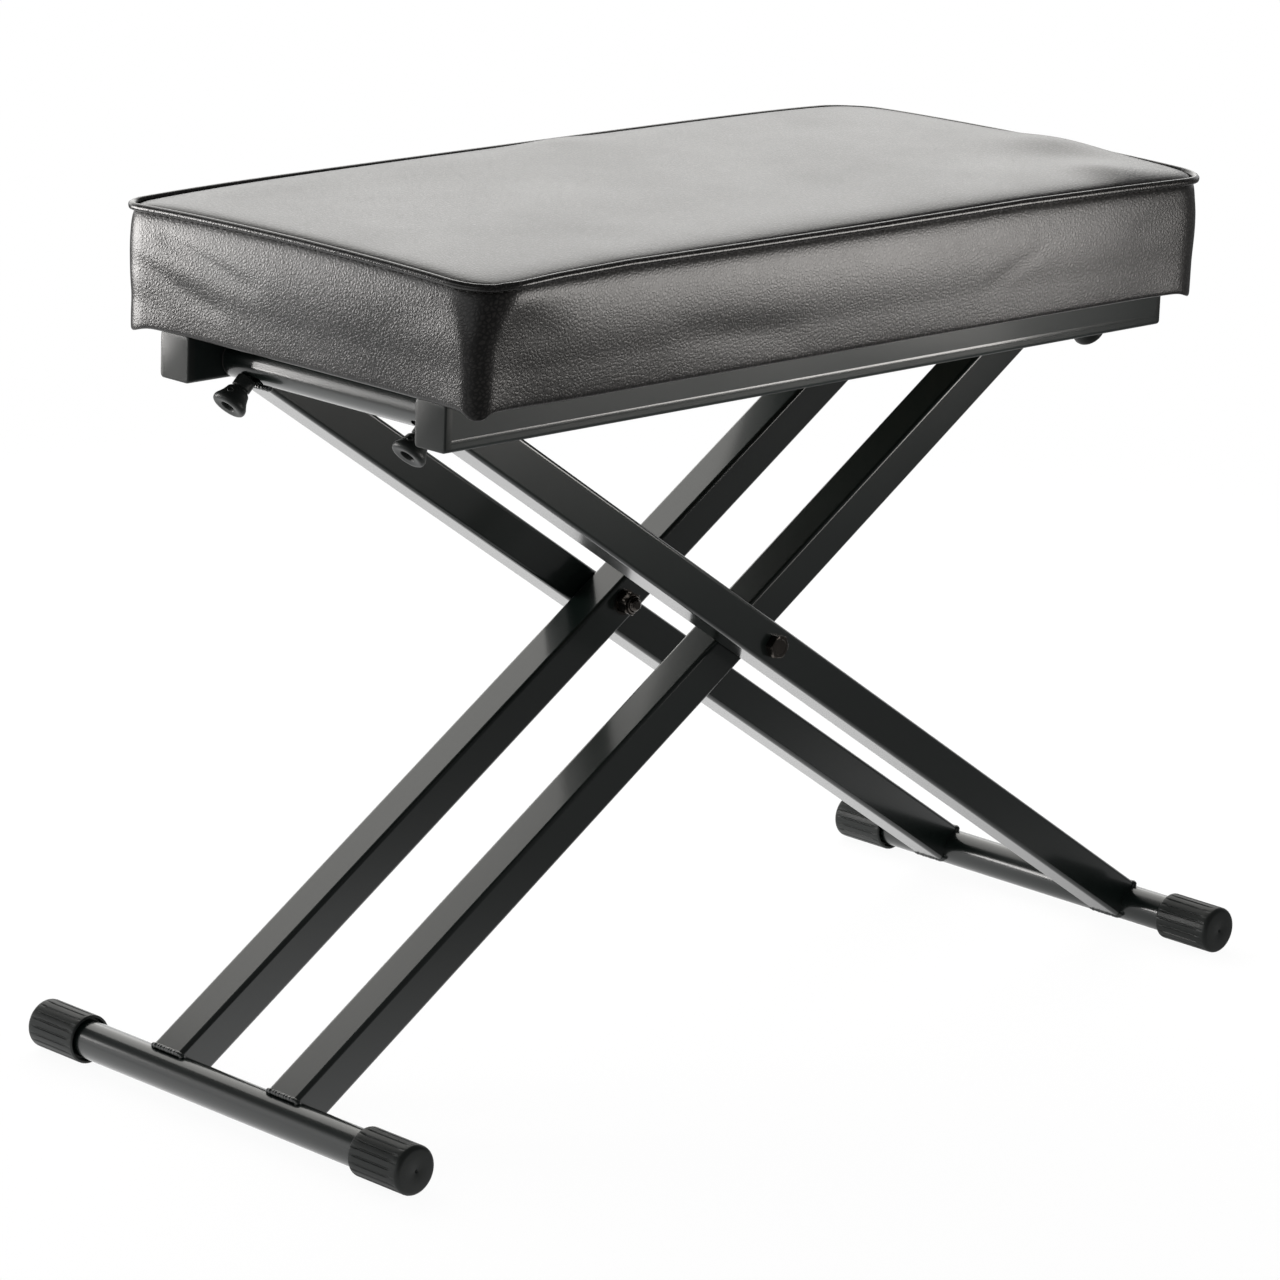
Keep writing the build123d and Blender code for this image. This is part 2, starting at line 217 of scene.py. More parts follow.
# Weld beads
LEG_SIZE = 25 * MM
LEG_CORNER = 2.5 * MM
LEG_SETBACK = 6.4 * MM
WELD_PITCH = 1.0 * MM
WELD_RADIUS = 1.7 * MM
WELD_SPREAD = 0.14
WELD_SEED = 7
WELD_RAISE = 0.2 * MM


# Node trees

class Wire:
    """A socket in a node tree. Arithmetic on it adds Math nodes."""

    def __init__(self, maker, socket):
        self.maker = maker
        self.socket = socket

    def math(self, operation, *values):
        return self.maker.node("ShaderNodeMath", dict(enumerate(values)), operation=operation)

    def __add__(self, other):
        return self.math("ADD", self, other)

    def __radd__(self, other):
        return self.math("ADD", other, self)

    def __sub__(self, other):
        return self.math("SUBTRACT", self, other)

    def __rsub__(self, other):
        return self.math("SUBTRACT", other, self)

    def __mul__(self, other):
        return self.math("MULTIPLY", self, other)

    def __rmul__(self, other):
        return self.math("MULTIPLY", other, self)

    def __truediv__(self, other):
        return self.math("DIVIDE", self, other)

    def __rtruediv__(self, other):
        return self.math("DIVIDE", other, self)

    def __abs__(self):
        return self.math("ABSOLUTE", self)

    def step(self, low, high):
        """0 below low and 1 above high, smooth between them."""
        sockets = {0: self, 1: low, 2: high}
        return self.maker.node("ShaderNodeMapRange", sockets, interpolation_type="SMOOTHSTEP")


class Nodes:
    """A node tree that is written node by node."""

    def node(self, kind, sockets=None, output=0, **settings):
        made = self.tree.nodes.new(kind)
        for name, value in settings.items():
            setattr(made, name, value)
        for name, value in (sockets or {}).items():
            if isinstance(value, Wire):
                self.tree.links.new(value.socket, made.inputs[name])
            else:
                made.inputs[name].default_value = value
        return Wire(self, made.outputs[output]) if len(made.outputs) else None

    def vector(self, operation, *values, output=0):
        return self.node("ShaderNodeVectorMath", dict(enumerate(values)), output, operation=operation)

    def scaled(self, vector, factor):
        return self.node("ShaderNodeVectorMath", {0: vector, "Scale": factor}, operation="SCALE")

    def mix(self, share, first, second):
        return self.node("ShaderNodeMixShader", {0: share, 1: first, 2: second})

    def ray(self, kind):
        return self.node("ShaderNodeLightPath", output=kind)


class Finish(Nodes):
    """A material. Patterns on it follow the piece's own Object coordinates."""

    def __init__(self, name):
        self.material = bpy.data.materials.new(name)
        self.material.use_nodes = True
        self.tree = self.material.node_tree
        self.tree.nodes.clear()
        self.place = self.node("ShaderNodeTexCoord", output="Object")

    def stretched(self, x, y, z):
        return self.vector("MULTIPLY", self.place, (x, y, z))

    def cloud(self, scale, detail=2.0, place=None, output=0):
        sockets = {"Vector": place or self.place, "Scale": scale, "Detail": detail}
        return self.node("ShaderNodeTexNoise", sockets, output)

    def cells(self, scale, place=None, feature="DISTANCE_TO_EDGE"):
        sockets = {"Vector": place or self.place, "Scale": scale}
        return self.node("ShaderNodeTexVoronoi", sockets, feature=feature)

    def blend(self, share, low, high):
        return self.node("ShaderNodeMix", {0: share, 6: (*low, 1), 7: (*high, 1)}, 2, data_type="RGBA")

    def bump(self, height, strength, distance):
        return self.node("ShaderNodeBump", {"Height": height, "Strength": strength, "Distance": distance})

    def surface(self, sockets):
        shader = self.node("ShaderNodeBsdfPrincipled", sockets)
        self.node("ShaderNodeOutputMaterial", {"Surface": shader})
        return self.material


class Recipe(Nodes):
    """A Geometry Nodes tree with named sizes."""

    def __init__(self, name, sizes):
        self.tree = bpy.data.node_groups.new(name, "GeometryNodeTree")
        self.tree.interface.new_socket("Geometry", in_out="INPUT", socket_type="NodeSocketGeometry")
        self.sizes = sizes
        self.identifiers = {}
        for size, value in sizes.items():
            kind = "NodeSocketInt" if isinstance(value, int) else "NodeSocketFloat"
            socket = self.tree.interface.new_socket(size, in_out="INPUT", socket_type=kind)
            self.identifiers[size] = socket.identifier
        self.tree.interface.new_socket("Geometry", in_out="OUTPUT", socket_type="NodeSocketGeometry")
        self.entry = self.tree.nodes.new("NodeGroupInput")

    def size(self, name):
        return Wire(self, self.entry.outputs[name])

    def path(self):
        """The start mesh's edges as a curve."""
        return self.node("GeometryNodeMeshToCurve", {0: self.size("Geometry")})

    def spaced_path(self):
        """Points along the start mesh's edges, a pitch apart."""
        sockets = {0: self.path(), "Length": self.size("Pitch")}
        return self.node("GeometryNodeResampleCurve", sockets, mode="LENGTH")

    def smooth(self, geometry):
        return self.node("GeometryNodeSetShadeSmooth", {0: geometry})

    def close(self, geometry, finish):
        """Ends the tree with plain geometry in one finish."""
        geometry = self.node("GeometryNodeRealizeInstances", {0: geometry})
        geometry = self.node("GeometryNodeSetMaterial", {0: geometry, "Material": FINISHES[finish]})
        self.node("NodeGroupOutput", {0: geometry})
        return self

    def mesh_from(self, start, sizes=None):
        """The plain mesh that the tree makes of a start mesh, with its usual sizes or some changed."""
        holder = bpy.data.objects.new(start.name, start)
        scene.collection.objects.link(holder)
        modifier = holder.modifiers.new(self.tree.name, "NODES")
        modifier.node_group = self.tree
        for size, value in {**self.sizes, **(sizes or {})}.items():
            modifier[self.identifiers[size]] = value
        evaluated = holder.evaluated_get(bpy.context.evaluated_depsgraph_get())
        mesh = bpy.data.meshes.new_from_object(evaluated)
        bpy.data.objects.remove(holder)
        return mesh


# Finishes

def leatherette(name, grain, roughness):
    """Black pebble-grained leatherette with painted shade in the pebbles' valleys; grain is the pebbles'
    depth.
    """
    finish = Finish(name)
    drift = finish.scaled(finish.cloud(240, 2.0, output=1), GRAIN_DRIFT)
    place = finish.node(
        "ShaderNodeMapping",
        {"Vector": finish.vector("ADD", finish.place, drift), "Rotation": GRAIN_TURN,
         "Scale": (GRAIN_STRETCH, 1.0, 1.0)},
        vector_type="TEXTURE",
    )
    pebble = finish.cells(500, place).step(0.0, 0.34)
    pores = finish.cloud(2600, 1.0)
    soft = finish.cloud(11, 3.0)
    # Painted shade and light: dark in the pebbles' valleys, lighter on their tops; the soft cloud is a random
    # tone.
    tone = pebble * 0.85 + soft * 0.15
    return finish.surface({
        "Base Color": finish.blend(tone, (0.0018, 0.0017, 0.0016), (0.0360, 0.0337, 0.0319)),
        "Roughness": roughness - 0.03 * pebble + 0.10 * (soft - 0.5),
        "IOR": 1.50,
        "Normal": finish.bump(pebble * 0.85 + pores * 0.15, 0.8, grain),
    })


def frame_paint(name, dark, light, roughness, gloss):
    """Black powder coat with a fine orange peel."""
    finish = Finish(name)
    peel = finish.cloud(750, 2.0)
    haze = finish.cloud(16, 3.0)
    return finish.surface({
        "Base Color": finish.blend(haze, dark, light),
        "Roughness": roughness + 0.10 * haze + 0.04 * peel,
        "IOR": 1.46,
        "Coat Weight": gloss,
        "Coat Roughness": 0.13,
        "Coat IOR": 1.48,
        "Normal": finish.bump(peel, 0.04, 0.03 * MM),
    })


def black_plastic():
    """Moulded black plastic, slightly matt and mottled."""
    finish = Finish("moulded_black_plastic")
    spark = finish.cloud(1400, 1.0)
    haze = finish.cloud(38, 4.0)
    return finish.surface({
        "Base Color": finish.blend(haze, (0.0150, 0.0185, 0.0170), (0.0250, 0.0295, 0.0275)),
        "Roughness": 0.34 + 0.16 * haze,
        "IOR": 1.46,
        "Normal": finish.bump(spark, 0.06, 0.05 * MM),
    })


def metal(name, dark, light, roughness):
    """A plated metal with cloudy gloss."""
    finish = Finish(name)
    haze = finish.cloud(120, 3.0)
    return finish.surface({
        "Base Color": finish.blend(haze, dark, light),
        "Metallic": 1.0,
        "Roughness": roughness + 0.14 * haze,
        "Normal": finish.bump(finish.cloud(900, 1.0), 0.08, 0.05 * MM),
    })


def nylon():
    finish = Finish("dark_nylon")
    haze = finish.cloud(60, 2.0)
    return finish.surface({
        "Base Color": finish.blend(haze, (0.030, 0.030, 0.029), (0.045, 0.045, 0.044)),
        "Roughness": 0.45 + 0.1 * haze,
    })


def plywood():
    """Dark stained plywood, with its grain along the seat."""
    finish = Finish("plywood")
    streak = finish.cloud(1.0, 4.0, finish.stretched(9, 190, 190))
    rings = finish.cloud(1.0, 3.0, finish.stretched(2.2, 22, 300))
    grain = streak * 0.6 + rings * 0.4
    return finish.surface({
        "Base Color": finish.blend(grain.step(0.30, 0.72), (0.032, 0.022, 0.014), (0.080, 0.056, 0.036)),
        "Roughness": 0.62 + 0.16 * streak,
        "Normal": finish.bump(grain, 0.25, 0.15 * MM),
    })


def foam():
    finish = Finish("seat_foam")
    pores = finish.cells(420, feature="F1")
    return finish.surface({
        "Base Color": finish.blend(pores, (0.55, 0.50, 0.36), (0.72, 0.66, 0.50)),
        "Roughness": 0.9,
        "Normal": finish.bump(pores, 0.4, 0.4 * MM),
    })


def thread():
    finish = Finish("black_thread")
    twist = finish.cloud(1.0, 1.0, finish.stretched(1500, 1500, 900))
    return finish.surface({
        "Base Color": finish.blend(twist, (0.010, 0.010, 0.010), (0.034, 0.033, 0.031)),
        "Roughness": 0.55 + 0.2 * twist,
        "Normal": finish.bump(twist, 0.4, 0.1 * MM),
    })


FINISHES = {
    "leatherette": leatherette("leatherette", 0.085 * MM, 0.33),
    "piping": leatherette("leatherette_piping", 0.05 * MM, 0.24),
    "foam": foam(),
    "plywood": plywood(),
    "frame_paint": frame_paint(
        "black_satin_paint", (0.0050, 0.0105, 0.0090), (0.0080, 0.0145, 0.0125), 0.26, 1.0
    ),
    # The rails take the legs' black paint, made matt, in a lighter colour that is painted sheen.
    "rail_paint_painted_sheen": frame_paint(
        "black_matt_paint_painted_sheen", (0.013, 0.020, 0.019), (0.017, 0.025, 0.024), 0.42, 0.1
    ),
    "black_plastic": black_plastic(),
    "zinc_steel": metal("zinc_plated_steel", (0.46, 0.46, 0.45), (0.66, 0.66, 0.64), 0.24),
    "black_bolt": metal("black_chrome", (0.060, 0.054, 0.050), (0.135, 0.120, 0.108), 0.15),
    "nylon": nylon(),
    "thread": thread(),
}


# Mesh helpers

def new_mesh(name, points, faces, smooth_angle=40, merge_gap=MERGE_GAP):
    """A closed mesh with its faces turned outwards, smooth except at edges sharper than the angle."""
    mesh = bpy.data.meshes.new(name)
    mesh.from_pydata([tuple(point) for point in points], [], faces)
    work = bmesh.new()
    work.from_mesh(mesh)
    bmesh.ops.remove_doubles(work, verts=work.verts, dist=merge_gap)
    bmesh.ops.recalc_face_normals(work, faces=work.faces)
    work.to_mesh(mesh)
    work.free()
    mesh.shade_smooth()
    mesh.set_sharp_from_angle(angle=math.radians(smooth_angle))
    return mesh


def ring_faces(rings, around):
    """Quads between rings of points that lie one after another."""
    faces = []
    for ring in range(rings - 1):
        low = ring * around
        high = low + around
        for index in range(around):
            after = (index + 1) % around
            faces.append((low + index, low + after, high + after, high + index))
    return faces


def capped_faces(rings, around):
    """Quads between rings of points, and a face over each end."""
    last = (rings - 1) * around
    return ring_faces(rings, around) + [list(range(around)), list(range(last, last + around))]


def turned(name, rows, around, smooth_angle=40, shape=None):
    """A shape turned about Z, from rows of radius and height whose first and last radius is 0."""
    angles = np.arange(around) * 2 * math.pi / around
    points = []
    for radius, height in rows[1:-1]:
        reach = shape(angles, radius) if shape else np.full(around, radius)
        ring = [reach * np.cos(angles), reach * np.sin(angles), np.full(around, height)]
        points += list(np.column_stack(ring))
    faces = ring_faces(len(rows) - 2, around)
    first = len(points)
    points += [(0, 0, rows[0][1]), (0, 0, rows[-1][1])]
    last_ring = first - around
    for index in range(around):
        after = (index + 1) % around
        faces.append((first, after, index))
        faces.append((first + 1, last_ring + index, last_ring + after))
    return new_mesh(name, points, faces, smooth_angle)


def arc_rows(radius, height, turn, start, stop, steps):
    """Rows along an arc of the profile; its centre is at radius and height, with angles in degrees."""
    rows = []
    for index in range(steps + 1):
        angle = math.radians(start + (stop - start) * index / steps)
        rows.append((radius + turn * math.cos(angle), height + turn * math.sin(angle)))
    return rows


def joined(name, meshes, smooth_angle=40):
    """One mesh of several, still as separate shells."""
    work = bmesh.new()
    for mesh in meshes:
        work.from_mesh(mesh)
    whole = bpy.data.meshes.new(name)
    work.to_mesh(whole)
    work.free()
    whole.shade_smooth()
    whole.set_sharp_from_angle(angle=math.radians(smooth_angle))
    return whole


def along(direction, place):
    """Turns a local Z axis to a direction, at a place."""
    return Matrix.Translation(place) @ Vector(direction).to_track_quat("Z", "X").to_matrix().to_4x4()


def placed(mesh, matrix):
    mesh.transform(matrix)
    return mesh


def piece(name, mesh, body, slot, *stands_for, finish=None):
    """A piece that rides on a body, in its slot's finish or another, and may stand for CAD nodes."""
    made = bpy.data.objects.new(name, mesh)
    scene.collection.objects.link(made)
    mesh.materials.clear()
    mesh.materials.append(FINISHES[finish or slot])
    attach(made, body)
    if stands_for:
        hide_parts(*stands_for)
    return made


def middle(node):
    low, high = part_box(node)
    return (low + high) / 2


def half_height(node):
    low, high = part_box(node)
    return (high.z - low.z) / 2


# Cushion

piping_low, piping_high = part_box("seat_piping")
SEAM_X = piping_high.x - PIPING_DIAMETER / 2
SEAM_Y = piping_high.y - PIPING_DIAMETER / 2
SEAM_Z = (piping_low.z + piping_high.z) / 2
BASE_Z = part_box("seat_board")[0].z
HEM_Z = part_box("seat_side_band")[0].z


class Outline:
    """Evenly spaced places round the seam, with outward directions and the way to the nearest corner."""

    def __init__(self, corners, ways=None):
        path = []
        signs = {"front_right": (1, -1), "rear_right": (1, 1), "rear_left": (-1, 1), "front_left": (-1, -1)}
        for quarter, (corner, (sign_x, sign_y)) in enumerate(signs.items()):
            radius = corners[corner]
            for step in range(CORNER_STEPS + 1):
                turn = math.radians(90 * (quarter - 1 + step / CORNER_STEPS))
                out_x, out_y = math.cos(turn), math.sin(turn)
                path.append((sign_x * (SEAM_X - radius) + radius * out_x,
                             sign_y * (SEAM_Y - radius) + radius * out_y, out_x, out_y))
        path = np.array(path + path[:1])
        if ways is None:
            ways = np.concatenate([[0], np.cumsum(np.hypot(*np.diff(path[:, :2], axis=0).T))])
        self.ways = ways
        spots = np.arange(AROUND) * ways[-1] / AROUND
        even = np.column_stack([np.interp(spots, ways, column) for column in path.T])
        self.points = even[:, :2]
        self.normals = even[:, 2:] / np.linalg.norm(even[:, 2:], axis=1)[:, None]
        corner_ways = ways[CORNER_STEPS // 2:-1:CORNER_STEPS + 1]
        gaps = np.abs(spots[:, None] - corner_ways[None, :])
        from_corner = np.minimum(gaps, ways[-1] - gaps).min(axis=1)
        self.from_corner = np.hypot(from_corner, CORNER_EASE) - CORNER_EASE


outline = Outline(SEAM_CORNERS)
foot_places = Outline(FOOT_CORNERS, outline.ways).points
near_corner = np.hypot(*(foot_places + (SEAM_X, SEAM_Y)).T)
foot_places = foot_places + np.outer(np.exp(-(near_corner / NEAR_CORNER_REACH) ** 2), NEAR_CORNER_SHIFT)
seam_lift = SEAM_LIFT * (1 - np.exp(-outline.from_corner / SEAM_LIFT_REACH))
front_seam = MM * np.interp(outline.points[:, 0] / MM, FRONT_SEAM_X, FRONT_SEAM_LIFT)
seam_lift = np.where(outline.normals[:, 1] < FRONT_FACING, front_seam, seam_lift)
seam_pull = PULL_IN * (1 - np.exp(-outline.from_corner / PULL_IN_REACH))
corner_flare = np.exp(-(outline.from_corner / CORNER_FLARE) ** 2)
right_middle = int(np.argmin(np.hypot(outline.points[:, 0] - SEAM_X, outline.points[:, 1])))
across_seat = (2 * right_middle - np.arange(AROUND)) % AROUND


def outline_ring(inset, height, share=0.0):
    """A ring of the cushion, drawn in by an inset, at a height for each point and a share of the way down."""
    low, high = FOOT_CORNER_SHARES
    turn = min(1.0, max(0.0, (share - low) / (high - low)))
    turn = turn * turn * (3 - 2 * turn)
    plan = outline.points * (1 - turn) + foot_places * turn
    plan = plan - outline.normals * (np.asarray(inset) + seam_pull)[:, None]
    return np.column_stack([plan, np.broadcast_to(height, AROUND)])


def middle_line(ring):
    """Places along the seat's middle, where the front and rear halves of a ring meet."""
    reach = SEAM_X - SEAM_Y
    shared_x = (ring[:, 0] + ring[across_seat, 0]) / 2
    return np.column_stack([np.clip(shared_x, -reach, reach), np.zeros(AROUND)])


def crown(x, y):
    """How far the top panel stands above the seam."""
    rise = CROWN_RISE * (1 - LEFT_FLATNESS * np.exp(-np.maximum(x + SEAM_X, 0) / LEFT_FLAT_REACH))
    for lump_x, lump_y, height, reach in TOP_LUMPS:
        gap = np.hypot(x - lump_x * MM, y - lump_y * MM)
        rise = rise + height * MM * np.exp(-(gap / (reach * MM)) ** 2)
    gaps = {"left": x + SEAM_X, "right": SEAM_X - x, "front": y + SEAM_Y, "rear": SEAM_Y - y}
    for side, gap in gaps.items():
        rise = rise * (1 - np.exp(-np.maximum(gap, 0) / CROWN_REACH[side]))
    return rise


def side_inset(share):
    """The side band's inset at a share of its height down from the seam."""
    drop = share * (SEAM_Z - BASE_Z)
    tuck = SEAM_TUCK * np.exp(-drop / SEAM_TUCK_REACH)
    lean = SIDE_LEAN * share ** 2 * (1 - FLARE_HOLD * corner_flare)
    return tuck + lean - SIDE_BULGE * math.sin(math.pi * min(1.0, share * BULGE_PEAK))


def top_rings():
    """Rings of the top panel, from the seam in to the line along the seat's middle."""
    edge = outline_ring(np.full(AROUND, SEAM_TUCK), 0)
    centre = middle_line(edge)
    rings = []
    for row in range(TOP_ROWS + 1):
        share = (row / TOP_ROWS) ** ROW_CROWDING
        plan = edge[:, :2] * (1 - share) + centre * share
        hold = (1 - share) ** 4
        lift = seam_lift * hold + SEAM_LIFT * MIDDLE_LIFT * (1 - hold)
        crevice = SEAM_CREVICE * math.exp(-row * CREVICE_FADE)
        rings.append(np.column_stack([plan, SEAM_Z + lift - crevice + crown(plan[:, 0], plan[:, 1])]))
    return rings


def side_rings():
    """Rings of the side band, from the seam down, round the lower edge and in under the board."""
    rings = []
    seam = SEAM_Z + seam_lift
    foot = HEM_Z + EDGE_ROUND
    for row in range(SIDE_ROWS + 1):
        share = (row / SIDE_ROWS) ** ROW_CROWDING
        rings.append(outline_ring(side_inset(share), seam + (foot - seam) * share, share))
    edge_inset = side_inset(1.0)
    for angle in EDGE_ANGLES:
        turn = math.radians(angle)
        inset = edge_inset + EDGE_ROUND * (1 - math.cos(turn))
        rings.append(outline_ring(inset, HEM_Z + EDGE_ROUND * (1 - math.sin(turn)), 1.0))
    for width, share in HEM_STEPS:
        rings.append(outline_ring(edge_inset + EDGE_ROUND + HEM_WIDTH * width, HEM_Z, share))
    rings.append(outline_ring(edge_inset + EDGE_ROUND + HEM_WIDTH, BASE_Z + HIDDEN_CAP_RISE))
    return rings


def swell(cover, held):
    """Lets the cover puff against its seams, and keeps the shape with each move limited."""
    count = len(cover.vertices)
    rest = np.zeros(count * 3)
    cover.vertices.foreach_get("co", rest)
    rest = rest.reshape(-1, 3)
    holder = bpy.data.objects.new("cover_sim", cover)
    scene.collection.objects.link(holder)
    group = holder.vertex_groups.new(name="held")
    group.add([int(index) for index in held], 1.0, "REPLACE")
    cloth = holder.modifiers.new("swell", "CLOTH")
    cloth.settings.vertex_group_mass = "held"
    cloth.settings.use_pressure = True
    cloth.settings.uniform_pressure_force = SWELL_PRESSURE
    cloth.settings.effector_weights.gravity = 0
    cloth.settings.shrink_min = -COVER_SLACK
    cloth.settings.bending_stiffness = COVER_STIFFNESS
    for step in range(1, SWELL_FRAMES + 1):
        scene.frame_set(step)
    evaluated = holder.evaluated_get(bpy.context.evaluated_depsgraph_get())
    moved = np.zeros(count * 3)
    evaluated.data.vertices.foreach_get("co", moved)
    move = moved.reshape(-1, 3) - rest
    bpy.data.objects.remove(holder)
    scene.frame_set(1)
    size = np.maximum(np.linalg.norm(move, axis=1), SMALLEST_MOVE)
    move = move * (SWELL_CAP * np.tanh(size / SWELL_CAP) / size)[:, None]
    grid = move.reshape(-1, AROUND, 3)
    free = np.ones(count)
    free[held] = 0
    free = free.reshape(-1, AROUND, 1)[1:-1]
    for _ in range(SWELL_EASING):
        beside = np.roll(grid, 1, 1) + np.roll(grid, -1, 1)
        mean = (beside[1:-1] + grid[:-2] + grid[2:]) / 4
        grid[1:-1] += free * EASING_SHARE * (mean - grid[1:-1])
    inward = np.minimum(SEAM_X - np.abs(rest[:, 0]), SEAM_Y - np.abs(rest[:, 1]))
    near_seam = np.exp(-(np.maximum(inward, 0) / SWELL_REACH) ** 2)
    return rest + grid.reshape(-1, 3) * near_seam[:, None]


def fold_push(points, fold):
    """How far one soft fold draws a point of the side band in."""
    side, start, stop, width, depth = fold
    axis = 1 if side in ("left", "right") else 0
    facing = {"left": points[:, 0] < -SEAM_X + SIDE_DEPTH, "right": points[:, 0] > SEAM_X - SIDE_DEPTH,
              "front": points[:, 1] < -SEAM_Y + SIDE_DEPTH, "rear": points[:, 1] > SEAM_Y - SIDE_DEPTH}[side]
    flat = np.column_stack([points[:, axis], SEAM_Z - points[:, 2]]) / MM
    first, last = np.array(start, float), np.array(stop, float)
    run = last - first
    share = np.clip(((flat - first) @ run) / (run @ run), 0, 1)
    gap = np.linalg.norm(flat - first - share[:, None] * run, axis=1)
    taper = np.sqrt(np.sin(math.pi * (FOLD_TAPER[0] + FOLD_TAPER[1] * share)))
    return np.where(facing, depth * MM * taper * np.exp(-(gap / width) ** 2), 0)


def dress_sides(points, rings):
    """Adds soft folds, slow waves and corner tails to the side band's rings."""
    for row in range(1, SIDE_ROWS + 3):
        ring = points[rings[row]]
        share = min(1.0, row / SIDE_ROWS) ** ROW_CROWDING
        push = sum(fold_push(ring, fold) for fold in SIDE_FOLDS)
        waves = np.array([noise.noise(Vector(point) / UNDULATION_LENGTH) for point in ring])
        push = push + UNDULATION * waves * math.sin(math.pi * share) ** 0.5
        ring[:, :2] -= outline.normals * push[:, None]
        rise = np.maximum(ring[:, 2] - HEM_Z, 0)
        tail = np.exp(-(outline.from_corner / TAIL_WIDTH) ** 2) * np.exp(-(rise / TAIL_REACH) ** 2)
        ring[:, 2] -= TAIL_DROP * tail
        points[rings[row]] = ring


def build_cushion():
    """The padded cover, and the ring of places that the stitches follow."""
    tops = top_rings()
    sides = side_rings()
    cap = outline_ring(np.zeros(AROUND), BASE_Z + HIDDEN_CAP_RISE)
    cap = np.column_stack([middle_line(cap), cap[:, 2]])
    points = np.concatenate(tops[::-1] + sides + [cap])
    rings = len(tops) + len(sides) + 1
    side_start = len(tops) * AROUND
    side_places = [side_start + row * AROUND + np.arange(AROUND) for row in range(len(sides))]
    mesh = bpy.data.meshes.new("cover_start")
    mesh.from_pydata([tuple(point) for point in points], [], ring_faces(rings, AROUND))
    seam = np.arange(side_start - AROUND, side_start + AROUND)
    lower = np.arange(side_places[SIDE_ROWS][0], len(points))
    points = swell(mesh, np.concatenate([seam, lower]))
    dress_sides(points, side_places)
    cover = new_mesh("seat_cushion", points, ring_faces(rings, AROUND), 180, COVER_MERGE_GAP)
    raised = np.column_stack([outline.normals * STITCH_RAISE, np.zeros(AROUND)])
    return cover, points[side_places[STITCH_ROW]] + raised


def path_mesh(name, points, closed=True):
    """A line of edges for a path."""
    mesh = bpy.data.meshes.new(name)
    count = len(points)
    edges = [(index, (index + 1) % count) for index in range(count if closed else count - 1)]
    mesh.from_pydata([tuple(point) for point in points], edges, [])
    return mesh


def round_recipe(name, diameter, sides, finish):
    """A round welt or wire along a path."""
    recipe = Recipe(name, {"Diameter": diameter, "Sides": sides})
    section = recipe.node(
        "GeometryNodeCurvePrimitiveCircle",
        {"Resolution": recipe.size("Sides"), "Radius": recipe.size("Diameter") / 2},
    )
    tube = recipe.node("GeometryNodeCurveToMesh", {0: recipe.path(), 1: section, "Fill Caps": True})
    return recipe.close(recipe.smooth(tube), finish)


def stitch_recipe():
    """A row of stitches along a seam."""
    sizes = {"Pitch": STITCH_PITCH, "Length": STITCH_LENGTH, "Thickness": STITCH_THICKNESS}
    recipe = Recipe("stitches_along_seam", sizes)
    path = recipe.spaced_path()
    tangent = recipe.node("GeometryNodeInputTangent")
    turn = recipe.node("FunctionNodeAlignRotationToVector", {"Vector": tangent}, axis="X")
    half_thickness = recipe.size("Thickness") / 2
    size = recipe.node(
        "ShaderNodeCombineXYZ", {0: recipe.size("Length") / 2, 1: half_thickness, 2: half_thickness}
    )
    bead = recipe.node("GeometryNodeMeshUVSphere", {"Segments": 8, "Rings": 5, "Radius": 1.0})
    row = recipe.node(
        "GeometryNodeInstanceOnPoints",
        {0: path, "Instance": recipe.smooth(bead), "Rotation": turn, "Scale": size},
    )
    return recipe.close(row, "thread")


def build_seat():
    cover, stitch_row = build_cushion()
    cushion = piece("seat_cushion", cover, "seat", "leatherette",
                    "seat_foam", "seat_side_band", "seat_top_panel")
    rounding = cushion.modifiers.new("soft_surface", "SUBSURF")
    rounding.levels = 1
    rounding.render_levels = 1
    seam = outline_ring(np.zeros(AROUND), SEAM_Z + seam_lift)
    recipe = round_recipe("piping_along_seam", PIPING_DIAMETER, PIPING_SIDES, "piping")
    welt = recipe.mesh_from(path_mesh("seam_path", seam))
    piece("seat_welt", welt, "seat", "piping", "seat_piping")
    stitches = stitch_recipe().mesh_from(path_mesh("stitch_path", stitch_row))
    piece("seat_stitches", stitches, "seat", "piping", finish="thread")


# Feet

def cap_recipe():
    """Cuts shallow grooves along a turned cap, from Low to High. Each cap sets those two and its Radius."""
    sizes = {"Rib Count": RIB_COUNT, "Depth": GROOVE_DEPTH, "Width": GROOVE_WIDTH,
             "Low": 0.0, "High": 1.0, "Radius": 1.0}
    recipe = Recipe("ribbed_cap", sizes)
    ribs, depth, width, low, high, radius = [recipe.size(name) for name in sizes]
    place = recipe.node("GeometryNodeInputPosition")
    x, y, z = [recipe.node("ShaderNodeSeparateXYZ", {0: place}, axis) for axis in "XYZ"]
    turn = x.math("ARCTAN2", y, x) * ribs / (2 * math.pi)
    phase = abs(turn.math("FRACT", turn) - 0.5)
    gap = phase * (2 * math.pi) * radius / ribs
    groove = 1 - gap.step(width * GROOVE_FLOOR, width * 0.5)
    band = z.step(low, low + GROOVE_RUNOUT) * (1 - z.step(high - GROOVE_RUNOUT, high))
    reach = x.math("SQRT", x * x + y * y)
    outer = reach.step(radius - GROOVE_SKIN[0], radius - GROOVE_SKIN[1])
    away = recipe.vector("NORMALIZE", recipe.node("ShaderNodeCombineXYZ", {0: x, 1: y, 2: 0.0}))
    offset = recipe.scaled(away, groove * band * outer * depth * -1)
    cap = recipe.node("GeometryNodeSetPosition", {0: recipe.size("Geometry"), "Offset": offset})
    return recipe.close(cap, "black_plastic")


